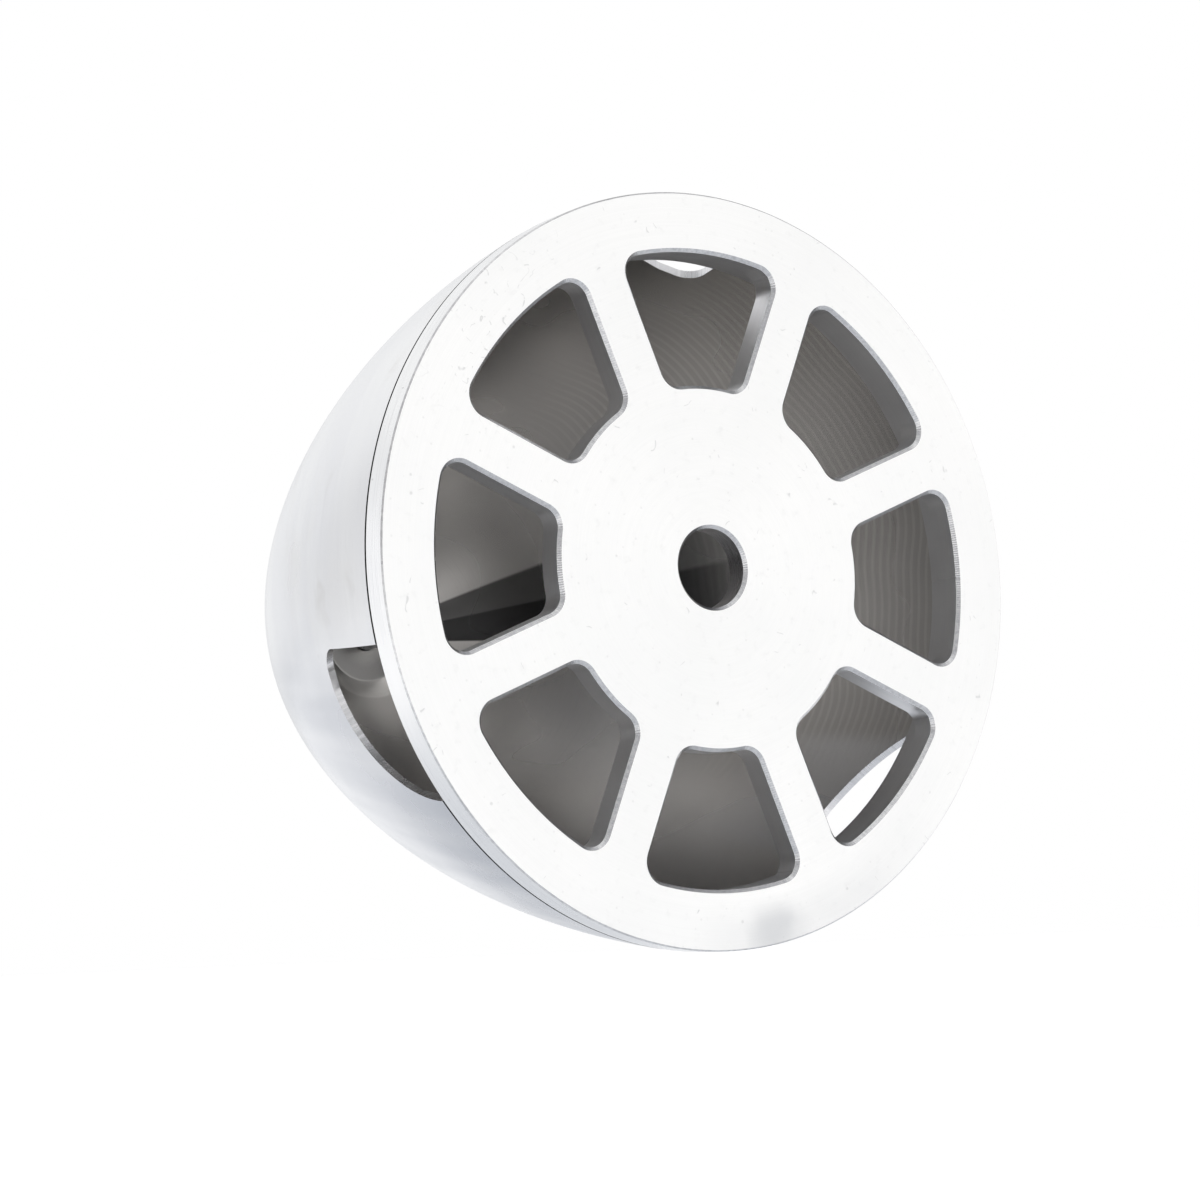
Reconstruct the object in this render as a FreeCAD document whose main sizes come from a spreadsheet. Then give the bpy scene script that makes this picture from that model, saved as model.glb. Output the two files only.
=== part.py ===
import FreeCAD, Part
import math
import os
import Sketcher

# Three-blade propeller spinner: a lightened back plate, a thin nose cone with
# three blade cut-outs, and the button-head screw that draws the cone back.
# Frame: the thrust axis is Y, the nose points to +Y, +Z is up, and the origin
# is the centre of the shaft bore on the plate's rear face.  Millimetres.

os.makedirs("parts", exist_ok=True)
doc = FreeCAD.newDocument("spinner")

# ---------------------------------------------------------------- dimensions
dims = doc.addObject("Spreadsheet::Sheet", "Dims")
dims.Label = "Dimensions"
VALUES = [
    # back plate
    ("plate_radius", 38.1),
    ("rim_thickness", 2.9),
    ("plate_depth", 4.25),
    ("spigot_radius", 36.4),
    ("bore_radius", 4.0),
    ("bore_chamfer", 0.33),
    ("face_edge_break", 0.15),
    ("window_outer_radius", 32.04),
    ("window_inner_radius", 18.42),
    ("spoke_width", 5.36),
    ("window_outer_fillet", 2.0),
    ("window_inner_fillet", 2.0),
    ("window_chamfer", 0.35),
    ("window_count", 8),
    # nose cone
    ("cone_land_radius", 36.45),
    ("cone_land_top", 4.95),
    ("cone_taper_top", 7.6),
    ("cone_wall", 0.74),
    ("seam_gap", 0.2),
    ("seam_depth", 0.45),
    ("flank_radius", 130.4),
    ("flank_centre_back", 10.13),
    ("shoulder_radius", 61.5),
    ("shoulder_centre_up", 21.159),
    ("cone_tip", 72.18),
    ("cavity_flat_radius", 5.24),
    # blade cut-outs
    ("cutout_half_width", 8.08),
    ("cutout_top", 16.97),
    ("cutout_corner_radius", 2.3),
    ("cutout_arc_radius", 14.71),
    ("cutout_arc_centre_x", 6.6),
    ("cutout_arc_centre_y", 2.51),
    ("cutout_count", 3),
    ("cutout_turn", 5.19),
    # nose screw and its seat
    ("seat_bore_radius", 3.05),
    ("seat_floor", 71.1),
    ("screw_clearance_radius", 1.65),
    ("screw_head_radius", 2.85),
    ("screw_head_height", 1.65),
    ("screw_head_edge", 0.3),
    ("screw_head_flat_radius", 1.5),
    ("screw_dome_radius", 2.6),
    ("screw_shank_radius", 1.46),
    ("screw_shank_length", 6.0),
    ("screw_point_chamfer", 0.35),
    ("screw_socket_af", 2.0),
    ("screw_socket_depth", 1.0),
]
V = dict(VALUES)
for row, (name, value) in enumerate(VALUES, start=1):
    dims.set("A%d" % row, name)
    dims.set("B%d" % row, repr(value))
    dims.setAlias("B%d" % row, name)
doc.recompute()


# ------------------------------------------------------------------- helpers
def origin_plane(body, role):
    return [f for f in body.Origin.OriginFeatures if f.Role == role][0]


def new_body(label):
    body = doc.addObject("PartDesign::Body", label)
    body.Label = label
    return body


def new_sketch(body, name, role):
    sk = body.newObject("Sketcher::SketchObject", name)
    sk.AttachmentSupport = (origin_plane(body, role), "")
    sk.MapMode = "FlatFace"
    return sk


def line(sk, x1, y1, x2, y2, construction=False):
    return sk.addGeometry(
        Part.LineSegment(FreeCAD.Vector(x1, y1, 0), FreeCAD.Vector(x2, y2, 0)),
        construction)


def arc(sk, cx, cy, radius, a1, a2):
    circle = Part.Circle(FreeCAD.Vector(cx, cy, 0), FreeCAD.Vector(0, 0, 1), radius)
    return sk.addGeometry(Part.ArcOfCircle(circle, a1, a2), False)


def circle(sk, cx, cy, radius, construction=False):
    return sk.addGeometry(
        Part.Circle(FreeCAD.Vector(cx, cy, 0), FreeCAD.Vector(0, 0, 1), radius),
        construction)


def con(sk, *args):
    return sk.addConstraint(Sketcher.Constraint(*args))


def drive(sk, name, expression, *args):
    index = sk.addConstraint(Sketcher.Constraint(*args))
    sk.renameConstraint(index, name)
    sk.setExpression("Constraints." + name, expression)
    return index


def chain(sk, ids, closed=True):
    """Joins the end of each element to the start of the next."""
    pairs = list(zip(ids, ids[1:] + ids[:1])) if closed else list(zip(ids, ids[1:]))
    for a, b in pairs:
        con(sk, "Coincident", a, 2, b, 1)


def volume(body):
    doc.recompute()
    return body.Shape.Volume


X0, Y0 = -1, -2     # the sketch's own horizontal and vertical axes


# =============================================================== back plate
plate = new_body("back_plate")

# Half section, radius along X and the thrust axis along Y: rear face, rim with
# its broken edge, shoulder that seats the cone, spigot, and web.
sk = new_sketch(plate, "plate_section", "XY_Plane")
R, T, D, S = V["plate_radius"], V["rim_thickness"], V["plate_depth"], V["spigot_radius"]
B, E, WO = V["bore_radius"], V["face_edge_break"], V["window_outer_radius"]
pts = [(B, 0), (R - E, 0), (R, E), (R, T), (S, T), (S, D), (WO, D), (WO, T), (B, T)]
g = [line(sk, *pts[i], *pts[(i + 1) % len(pts)]) for i in range(len(pts))]
chain(sk, g)
for i in (0, 3, 5, 7):
    con(sk, "Horizontal", g[i])
for i in (2, 4, 6, 8):
    con(sk, "Vertical", g[i])
con(sk, "PointOnObject", g[0], 1, X0)
drive(sk, "bore_r", "Dims.bore_radius", "DistanceX", X0, 1, g[0], 1, B)
drive(sk, "rim_r", "Dims.plate_radius", "DistanceX", X0, 1, g[2], 1, R)
drive(sk, "edge_x", "Dims.face_edge_break", "DistanceX", g[1], 1, g[1], 2, E)
drive(sk, "edge_y", "Dims.face_edge_break", "DistanceY", g[1], 1, g[1], 2, E)
drive(sk, "rim_t", "Dims.rim_thickness", "DistanceY", X0, 1, g[3], 1, T)
con(sk, "PointOnObject", g[8], 1, g[3])
drive(sk, "spigot_r", "Dims.spigot_radius", "DistanceX", X0, 1, g[4], 1, S)
drive(sk, "depth", "Dims.plate_depth", "DistanceY", X0, 1, g[5], 1, D)
drive(sk, "spigot_in", "Dims.window_outer_radius", "DistanceX", X0, 1, g[6], 1, WO)
doc.recompute()
rev = plate.newObject("PartDesign::Revolution", "plate_turned")
rev.Profile = sk
rev.ReferenceAxis = (sk, ["V_Axis"])
rev.Angle = 360
v_turned = volume(plate)

# One window: two arcs about the axis, two sides, four corner fillets.  Each side
# runs parallel to the next spoke's middle line, so the spokes keep one width.
sk = new_sketch(plate, "window_outline", "XZ_Plane")
RO, RI = V["window_outer_radius"], V["window_inner_radius"]
HB, DD = math.pi / V["window_count"], V["spoke_width"] / 2
FO, FI = V["window_outer_fillet"], V["window_inner_fillet"]
# upper side: direction (cos HB, sin HB), offset DD towards the window's middle
ux, uy, nx, ny = math.cos(HB), math.sin(HB), -math.sin(HB), math.cos(HB)
so = math.sqrt((RO - FO) ** 2 - (DD + FO) ** 2)
co = (ux * so - nx * (DD + FO), uy * so - ny * (DD + FO))
si = math.sqrt((RI + FI) ** 2 - (DD + FI) ** 2)
ci = (ux * si - nx * (DD + FI), uy * si - ny * (DD + FI))
ao, ai = math.atan2(co[1], co[0]), math.atan2(ci[1], ci[0])
w_out = arc(sk, 0, 0, RO, -ao, ao)
w_fo1 = arc(sk, co[0], co[1], FO, ao, HB + math.pi / 2)
p1 = (co[0] + FO * nx, co[1] + FO * ny)
p2 = (ci[0] + FI * nx, ci[1] + FI * ny)
w_up = line(sk, p1[0], p1[1], p2[0], p2[1])
w_fi1 = arc(sk, ci[0], ci[1], FI, HB + math.pi / 2, ai + math.pi)
w_in = arc(sk, 0, 0, RI, -ai, ai)
w_fi2 = arc(sk, ci[0], -ci[1], FI, math.pi - ai, 1.5 * math.pi - HB)
w_dn = line(sk, p2[0], -p2[1], p1[0], -p1[1])
w_fo2 = arc(sk, co[0], -co[1], FO, -HB - math.pi / 2, -ao)
con(sk, "Coincident", w_out, 3, X0, 1)
con(sk, "Coincident", w_in, 3, X0, 1)
con(sk, "Tangent", w_out, 2, w_fo1, 1)
con(sk, "Tangent", w_fo1, 2, w_up, 1)
con(sk, "Tangent", w_up, 2, w_fi1, 1)
con(sk, "Tangent", w_fi1, 2, w_in, 2)
con(sk, "Tangent", w_in, 1, w_fi2, 1)
con(sk, "Tangent", w_fi2, 2, w_dn, 1)
con(sk, "Tangent", w_dn, 2, w_fo2, 1)
con(sk, "Tangent", w_fo2, 2, w_out, 1)
drive(sk, "outer_r", "Dims.window_outer_radius", "Radius", w_out, RO)
drive(sk, "inner_r", "Dims.window_inner_radius", "Radius", w_in, RI)
drive(sk, "fillet_o1", "Dims.window_outer_fillet", "Radius", w_fo1, FO)
drive(sk, "fillet_i1", "Dims.window_inner_fillet", "Radius", w_fi1, FI)
con(sk, "Symmetric", w_up, 1, w_dn, 2, X0)
con(sk, "Symmetric", w_up, 2, w_dn, 1, X0)
drive(sk, "side_offset", "Dims.spoke_width / 2", "Distance", X0, 1, w_up, DD)
drive(sk, "side_angle", "180 deg / Dims.window_count + 180 deg", "Angle", X0, w_up, HB + math.pi)
doc.recompute()
pocket = plate.newObject("PartDesign::Pocket", "window")
pocket.Profile = sk
pocket.Type = "ThroughAll"
v_one = volume(plate)
if v_turned - v_one < 1:
    pocket.Reversed = True
    v_one = volume(plate)
pattern = plate.newObject("PartDesign::PolarPattern", "windows")
pattern.Originals = [pocket]
pattern.Axis = (origin_plane(plate, "Y_Axis"), "")
pattern.Angle = 360
pattern.setExpression("Occurrences", "Dims.window_count")
plate.Tip = pattern
v_eight = volume(plate)
print("plate turned %.1f, one window %.1f, all windows %.1f mm3"
      % (v_turned, v_turned - v_one, v_turned - v_eight))


# Broken edges on the rear face: every window's rim and the bore's mouth.
def edges_where(shape, test):
    return ["Edge%d" % (i + 1) for i, e in enumerate(shape.Edges) if test(e)]


def rear(e):
    b = e.BoundBox
    return abs(b.YMin) < 1e-4 and abs(b.YMax) < 1e-4


def span(e):
    rr = [math.hypot(v.Point.x, v.Point.z) for v in e.Vertexes]
    return min(rr), max(rr)


cham = plate.newObject("PartDesign::Chamfer", "window_edges")
cham.Base = (pattern, edges_where(pattern.Shape, lambda e: rear(e) and span(e)[0] > B + 2 and span(e)[1] < R - 2))
cham.setExpression("Size", "Dims.window_chamfer")
plate.Tip = cham
doc.recompute()
mouth = plate.newObject("PartDesign::Chamfer", "bore_edges")
mouth.Base = (cham, edges_where(cham.Shape, lambda e: abs(span(e)[1] - B) < 1e-3 and abs(span(e)[0] - B) < 1e-3
                                and abs(e.BoundBox.YMax - e.BoundBox.YMin) < 1e-4))
mouth.setExpression("Size", "Dims.bore_chamfer")
plate.Tip = mouth
doc.recompute()

# ================================================================ nose cone
cone = new_body("nose_cone")
P = V["rim_thickness"]
R1, C1 = V["flank_radius"], V["flank_centre_back"]
R2, C2 = V["shoulder_radius"], V["shoulder_centre_up"]
TIP = V["cone_tip"]
c1x = R - math.sqrt(R1 ** 2 - (P + C1) ** 2)
# the shoulder arc lies inside the flank arc and touches it
c2x = c1x + math.sqrt((R1 - R2) ** 2 - (C2 + C1) ** 2)
# the nose arc is centred on the axis, touches the shoulder arc and passes through the tip
u = TIP - C2
R3 = (R2 ** 2 - c2x ** 2 - u ** 2) / (2 * (R2 - u))
c3y = TIP - R3
a01 = math.atan2(P + C1, R - c1x)
a12 = math.atan2(C2 + C1, c2x - c1x)
a23 = math.atan2(c3y - C2, -c2x)

sk = new_sketch(cone, "cone_outline", "XY_Plane")
base = line(sk, 0, P, R, P)
g1 = arc(sk, c1x, -C1, R1, a01, a12)
g2 = arc(sk, c2x, C2, R2, a12, a23)
g3 = arc(sk, 0, c3y, R3, a23, math.pi / 2)
ax = line(sk, 0, TIP, 0, P)
con(sk, "Coincident", base, 2, g1, 1)
con(sk, "Tangent", g1, 2, g2, 1)
con(sk, "Tangent", g2, 2, g3, 1)
con(sk, "Coincident", g3, 2, ax, 1)
con(sk, "Coincident", ax, 2, base, 1)
con(sk, "Horizontal", base)
con(sk, "PointOnObject", base, 1, Y0)
con(sk, "PointOnObject", g3, 2, Y0)
con(sk, "PointOnObject", g3, 3, Y0)
drive(sk, "seat", "Dims.rim_thickness", "DistanceY", X0, 1, base, 1, P)
drive(sk, "base_r", "Dims.plate_radius", "DistanceX", X0, 1, base, 2, R)
drive(sk, "flank_r", "Dims.flank_radius", "Radius", g1, R1)
drive(sk, "flank_c", "Dims.flank_centre_back", "DistanceY", g1, 3, X0, 1, C1)
drive(sk, "shoulder_r", "Dims.shoulder_radius", "Radius", g2, R2)
drive(sk, "shoulder_c", "Dims.shoulder_centre_up", "DistanceY", X0, 1, g2, 3, C2)
drive(sk, "tip", "Dims.cone_tip", "DistanceY", X0, 1, ax, 1, TIP)
doc.recompute()
rev = cone.newObject("PartDesign::Revolution", "cone_turned")
rev.Profile = sk
rev.ReferenceAxis = (sk, ["V_Axis"])
rev.Angle = 360
v_blank = volume(cone)

# Cavity: a parallel land that fits the spigot, a short taper, a wall of even
# thickness, and a small flat face at the nose that the screw draws on.
W, LR = V["cone_wall"], V["cone_land_radius"]
LT, TT, CF = V["cone_land_top"], V["cone_taper_top"], V["cavity_flat_radius"]
r1, r2, r3 = R1 - W, R2 - W, R3 - W
xt = c1x + math.sqrt(r1 ** 2 - (TT + C1) ** 2)
CE = c3y + math.sqrt(r3 ** 2 - CF ** 2)
NOSE_RADIUS = ("(Dims.shoulder_radius^2"
               " - (Dims.plate_radius - sqrt(Dims.flank_radius^2 - (Dims.rim_thickness + Dims.flank_centre_back)^2)"
               " + sqrt((Dims.flank_radius - Dims.shoulder_radius)^2"
               " - (Dims.shoulder_centre_up + Dims.flank_centre_back)^2))^2"
               " - (Dims.cone_tip - Dims.shoulder_centre_up)^2)"
               " / (2 * (Dims.shoulder_radius - Dims.cone_tip + Dims.shoulder_centre_up))")
YB = P - 0.5
sk = new_sketch(cone, "cavity_outline", "XY_Plane")
h0 = line(sk, 0, YB, LR, YB)
h1 = line(sk, LR, YB, LR, LT)
h2 = line(sk, LR, LT, xt, TT)
h3 = arc(sk, c1x, -C1, r1, math.atan2(TT + C1, xt - c1x), a12)
h4 = arc(sk, c2x, C2, r2, a12, a23)
h5 = arc(sk, 0, c3y, r3, a23, math.atan2(CE - c3y, CF))
h6 = line(sk, CF, CE, 0, CE)
h7 = line(sk, 0, CE, 0, YB)
con(sk, "Coincident", h0, 2, h1, 1)
con(sk, "Coincident", h1, 2, h2, 1)
con(sk, "Coincident", h2, 2, h3, 1)
con(sk, "Tangent", h3, 2, h4, 1)
con(sk, "Tangent", h4, 2, h5, 1)
con(sk, "Coincident", h5, 2, h6, 1)
con(sk, "PointOnObject", h5, 3, Y0)
con(sk, "Coincident", h6, 2, h7, 1)
con(sk, "Coincident", h7, 2, h0, 1)
con(sk, "Horizontal", h0)
con(sk, "Vertical", h1)
con(sk, "Horizontal", h6)
con(sk, "PointOnObject", h0, 1, Y0)
con(sk, "PointOnObject", h6, 2, Y0)
drive(sk, "start", "Dims.rim_thickness - 0.5", "DistanceY", X0, 1, h0, 1, YB)
drive(sk, "land_r", "Dims.cone_land_radius", "DistanceX", X0, 1, h1, 2, LR)
drive(sk, "land_top", "Dims.cone_land_top", "DistanceY", X0, 1, h1, 2, LT)
drive(sk, "taper_top", "Dims.cone_taper_top", "DistanceY", X0, 1, h2, 2, TT)
drive(sk, "flank_r", "Dims.flank_radius - Dims.cone_wall", "Radius", h3, r1)
drive(sk, "flank_c", "Dims.flank_centre_back", "DistanceY", h3, 3, X0, 1, C1)
drive(sk, "flank_cx",
      "sqrt(Dims.flank_radius^2 - (Dims.rim_thickness + Dims.flank_centre_back)^2) - Dims.plate_radius",
      "DistanceX", h3, 3, X0, 1, -c1x)
drive(sk, "shoulder_r", "Dims.shoulder_radius - Dims.cone_wall", "Radius", h4, r2)
drive(sk, "shoulder_c", "Dims.shoulder_centre_up", "DistanceY", X0, 1, h4, 3, C2)
drive(sk, "nose_r", NOSE_RADIUS + " - Dims.cone_wall", "Radius", h5, r3)
drive(sk, "flat_r", "Dims.cavity_flat_radius", "DistanceX", h7, 1, h6, 1, CF)
doc.recompute()
cav = cone.newObject("PartDesign::Groove", "cavity")
cav.Profile = sk
cav.ReferenceAxis = (sk, ["V_Axis"])
cav.Angle = 360
v_shell = volume(cone)

# Narrow relief at the outside of the seat: it leaves the fine dark joint line.
GD, GG = V["seam_depth"], V["seam_gap"]
sk = new_sketch(cone, "seam_outline", "XY_Plane")
sp = [(R - GD, P - 0.5), (R + 1, P - 0.5), (R + 1, P + GG), (R - GD, P + GG)]
s = [line(sk, *sp[i], *sp[(i + 1) % 4]) for i in range(4)]
chain(sk, s)
con(sk, "Horizontal", s[0])
con(sk, "Vertical", s[1])
con(sk, "Horizontal", s[2])
con(sk, "Vertical", s[3])
drive(sk, "in_r", "Dims.plate_radius - Dims.seam_depth", "DistanceX", X0, 1, s[0], 1, R - GD)
drive(sk, "out_r", "Dims.plate_radius + 1", "DistanceX", X0, 1, s[0], 2, R + 1)
drive(sk, "low", "Dims.rim_thickness - 0.5", "DistanceY", X0, 1, s[0], 1, P - 0.5)
drive(sk, "high", "Dims.rim_thickness + Dims.seam_gap", "DistanceY", X0, 1, s[2], 1, P + GG)
doc.recompute()
seam = cone.newObject("PartDesign::Groove", "seam_relief")
seam.Profile = sk
seam.ReferenceAxis = (sk, ["V_Axis"])
seam.Angle = 360
v_seam = volume(cone)

# Screw seat in the nose: counterbore and clearance hole.
SB, SF, SC = V["seat_bore_radius"], V["seat_floor"], V["screw_clearance_radius"]
sk = new_sketch(cone, "seat_outline", "XY_Plane")
sp = [(0, SF - 3), (SC, SF - 3), (SC, SF), (SB, SF), (SB, TIP + 1), (0, TIP + 1)]
s = [line(sk, *sp[i], *sp[(i + 1) % 6]) for i in range(6)]
chain(sk, s)
for i in (0, 2, 4):
    con(sk, "Horizontal", s[i])
for i in (1, 3, 5):
    con(sk, "Vertical", s[i])
con(sk, "PointOnObject", s[0], 1, Y0)
drive(sk, "low", "Dims.seat_floor - 3", "DistanceY", X0, 1, s[0], 1, SF - 3)
drive(sk, "clear_r", "Dims.screw_clearance_radius", "DistanceX", X0, 1, s[1], 1, SC)
drive(sk, "floor", "Dims.seat_floor", "DistanceY", X0, 1, s[2], 1, SF)
drive(sk, "bore_r", "Dims.seat_bore_radius", "DistanceX", X0, 1, s[3], 1, SB)
drive(sk, "top", "Dims.cone_tip + 1", "DistanceY", X0, 1, s[4], 1, TIP + 1)
doc.recompute()
seat = cone.newObject("PartDesign::Groove", "screw_seat")
seat.Profile = sk
seat.ReferenceAxis = (sk, ["V_Axis"])
seat.Angle = 360
v_seat = volume(cone)

# Blade cut-out, milled square to the axis: one straight side with a small top
# corner, and a leading side that sweeps down to the base in one large arc.
HW, CT, CR = V["cutout_half_width"], V["cutout_top"], V["cutout_corner_radius"]
AR, AX, AY = V["cutout_arc_radius"], V["cutout_arc_centre_x"], V["cutout_arc_centre_y"]
xa = AX - math.sqrt(AR ** 2 - (CT - AY) ** 2)
ya = AY + math.sqrt(AR ** 2 - (HW + AX) ** 2)
YC = P - 1.0
sk = new_sketch(cone, "cutout_outline", "XY_Plane")
k0 = line(sk, -HW, YC, HW, YC)
k1 = line(sk, HW, YC, HW, CT - CR)
k2 = arc(sk, HW - CR, CT - CR, CR, 0, math.pi / 2)
k3 = line(sk, HW - CR, CT, xa, CT)
k4 = arc(sk, AX, AY, AR, math.atan2(CT - AY, xa - AX), math.atan2(ya - AY, -HW - AX))
k5 = line(sk, -HW, ya, -HW, YC)
con(sk, "Coincident", k0, 2, k1, 1)
con(sk, "Tangent", k1, 2, k2, 1)
con(sk, "Tangent", k2, 2, k3, 1)
con(sk, "Coincident", k3, 2, k4, 1)
con(sk, "Coincident", k4, 2, k5, 1)
con(sk, "Coincident", k5, 2, k0, 1)
con(sk, "Horizontal", k0)
con(sk, "Vertical", k1)
con(sk, "Horizontal", k3)
con(sk, "Vertical", k5)
drive(sk, "low", "Dims.rim_thickness - 1", "DistanceY", X0, 1, k0, 1, YC)
drive(sk, "right", "Dims.cutout_half_width", "DistanceX", X0, 1, k0, 2, HW)
drive(sk, "left", "Dims.cutout_half_width", "DistanceX", k0, 1, X0, 1, HW)
drive(sk, "top", "Dims.cutout_top", "DistanceY", X0, 1, k3, 1, CT)
drive(sk, "corner", "Dims.cutout_corner_radius", "Radius", k2, CR)
drive(sk, "arc_r", "Dims.cutout_arc_radius", "Radius", k4, AR)
drive(sk, "arc_x", "Dims.cutout_arc_centre_x", "DistanceX", X0, 1, k4, 3, AX)
drive(sk, "arc_y", "Dims.cutout_arc_centre_y", "DistanceY", X0, 1, k4, 3, AY)
doc.recompute()
cut = cone.newObject("PartDesign::Pocket", "cutout")
cut.Profile = sk
cut.Type = "ThroughAll"
cut.Midplane = False
cut.Reversed = True
v_cut = volume(cone)
pattern = cone.newObject("PartDesign::PolarPattern", "cutouts")
pattern.Originals = [cut]
pattern.Axis = (origin_plane(cone, "Y_Axis"), "")
pattern.Angle = 360
pattern.setExpression("Occurrences", "Dims.cutout_count")
cone.Tip = pattern
v_cuts = volume(cone)
print("cone blank %.1f, shell %.1f, seam %.2f, seat %.2f, one cut-out %.2f, all cut-outs %.2f mm3"
      % (v_blank, v_shell, v_shell - v_seam, v_seam - v_seat, v_seat - v_cut, v_seat - v_cuts))
assert cut.Shape.BoundBox.ZMax < pattern.Shape.BoundBox.ZMax + 40
cone.Placement = FreeCAD.Placement(
    FreeCAD.Vector(0, 0, 0),
    FreeCAD.Rotation(FreeCAD.Vector(0, 1, 0), V["cutout_turn"]))

# =============================================================== nose screw
screw = new_body("nose_screw")
HR, HH, HE = V["screw_head_radius"], V["screw_head_height"], V["screw_head_edge"]
HF, HD = V["screw_head_flat_radius"], V["screw_dome_radius"]
KR, KL, KC = V["screw_shank_radius"], V["screw_shank_length"], V["screw_point_chamfer"]
# the dome is an arc from the head's short cylindrical edge to its flat top
da, db = (HR, SF + HE), (HF, SF + HH)
chord = math.dist(da, db)
mx, my = (da[0] + db[0]) / 2, (da[1] + db[1]) / 2
back = math.sqrt(HD ** 2 - (chord / 2) ** 2)
dcx, dcy = mx - back * (db[1] - da[1]) / chord, my + back * (db[0] - da[0]) / chord
sk = new_sketch(screw, "screw_section", "XY_Plane")
s0 = line(sk, 0, SF - KL, KR - KC, SF - KL)
s1 = line(sk, KR - KC, SF - KL, KR, SF - KL + KC)
s2 = line(sk, KR, SF - KL + KC, KR, SF)
s3 = line(sk, KR, SF, HR, SF)
s4 = line(sk, HR, SF, HR, SF + HE)
s5 = arc(sk, dcx, dcy, HD, math.atan2(da[1] - dcy, da[0] - dcx), math.atan2(db[1] - dcy, db[0] - dcx))
s6 = line(sk, HF, SF + HH, 0, SF + HH)
s7 = line(sk, 0, SF + HH, 0, SF - KL)
chain(sk, [s0, s1, s2, s3, s4, s5, s6, s7])
for i in (s0, s3, s6):
    con(sk, "Horizontal", i)
for i in (s2, s4, s7):
    con(sk, "Vertical", i)
con(sk, "PointOnObject", s0, 1, Y0)
drive(sk, "shank_r", "Dims.screw_shank_radius", "DistanceX", X0, 1, s2, 1, KR)
drive(sk, "under_head", "Dims.seat_floor", "DistanceY", X0, 1, s3, 1, SF)
drive(sk, "point", "Dims.seat_floor - Dims.screw_shank_length", "DistanceY", X0, 1, s0, 1, SF - KL)
drive(sk, "point_x", "Dims.screw_point_chamfer", "DistanceX", s1, 1, s1, 2, KC)
drive(sk, "point_y", "Dims.screw_point_chamfer", "DistanceY", s1, 1, s1, 2, KC)
drive(sk, "head_r", "Dims.screw_head_radius", "DistanceX", X0, 1, s4, 1, HR)
drive(sk, "head_h", "Dims.screw_head_height", "DistanceY", s3, 1, s6, 1, HH)
drive(sk, "edge_h", "Dims.screw_head_edge", "DistanceY", s4, 1, s4, 2, HE)
drive(sk, "top_r", "Dims.screw_head_flat_radius", "DistanceX", X0, 1, s6, 1, HF)
drive(sk, "dome_r", "Dims.screw_dome_radius", "Radius", s5, HD)
doc.recompute()
rev = screw.newObject("PartDesign::Revolution", "screw_turned")
rev.Profile = sk
rev.ReferenceAxis = (sk, ["V_Axis"])
rev.Angle = 360
v_screw = volume(screw)

# Hexagon socket, sunk from the top of the head.
AF, SD = V["screw_socket_af"], V["screw_socket_depth"]
sk = new_sketch(screw, "socket_outline", "XZ_Plane")
sk.AttachmentOffset = FreeCAD.Placement(FreeCAD.Vector(0, 0, -(SF + HH)), FreeCAD.Rotation())
sk.setExpression("AttachmentOffset.Base.z", "-(Dims.seat_floor + Dims.screw_head_height)")
hr = AF / math.sqrt(3.0)
hp = [(hr * math.cos(math.radians(60 * i)), hr * math.sin(math.radians(60 * i))) for i in range(6)]
s = [line(sk, *hp[i], *hp[(i + 1) % 6]) for i in range(6)]
ring = circle(sk, 0, 0, hr, True)
chain(sk, s)
con(sk, "Coincident", ring, 3, X0, 1)
for i in range(6):
    con(sk, "PointOnObject", s[i], 1, ring)
for i in range(1, 6):
    con(sk, "Equal", s[0], s[i])
con(sk, "PointOnObject", s[0], 1, X0)
drive(sk, "socket", "Dims.screw_socket_af / sqrt(3)", "Radius", ring, hr)
doc.recompute()
hexcut = screw.newObject("PartDesign::Pocket", "socket")
hexcut.Profile = sk
hexcut.Type = "Length"
hexcut.setExpression("Length", "Dims.screw_socket_depth")
v_hex = volume(screw)
if v_screw - v_hex < 0.9 * AF * AF * math.sqrt(3) / 2 * SD:
    hexcut.Reversed = True
    v_hex = volume(screw)
print("screw %.2f, socket %.2f mm3" % (v_screw, v_screw - v_hex))

# ------------------------------------------------------- check and write out
doc.recompute()
bad = [o.Name for o in doc.Objects if "Invalid" in o.State or "Error" in o.State]
if bad:
    raise SystemExit("failed objects: " + ", ".join(bad))
for o in doc.Objects:
    if o.TypeId == "Sketcher::SketchObject":
        print("%-16s solver %s" % (o.Name, o.solve()))
for body in (plate, cone, screw):
    shape = body.Shape
    if shape.isNull() or not shape.isValid() or len(shape.Solids) != 1:
        raise SystemExit("bad shape: " + body.Label)
for body in (plate, cone, screw):
    body.Shape.exportStep("parts/" + body.Label + ".step")
    bb = body.Shape.BoundBox
    print("%-11s %9.1f mm3  x %.2f..%.2f  y %.2f..%.2f  z %.2f..%.2f"
          % (body.Label, body.Shape.Volume, bb.XMin, bb.XMax, bb.YMin, bb.YMax, bb.ZMin, bb.ZMax))
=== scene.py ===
import math
import bpy
import numpy as np
from mathutils import Matrix, Vector, geometry


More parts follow.
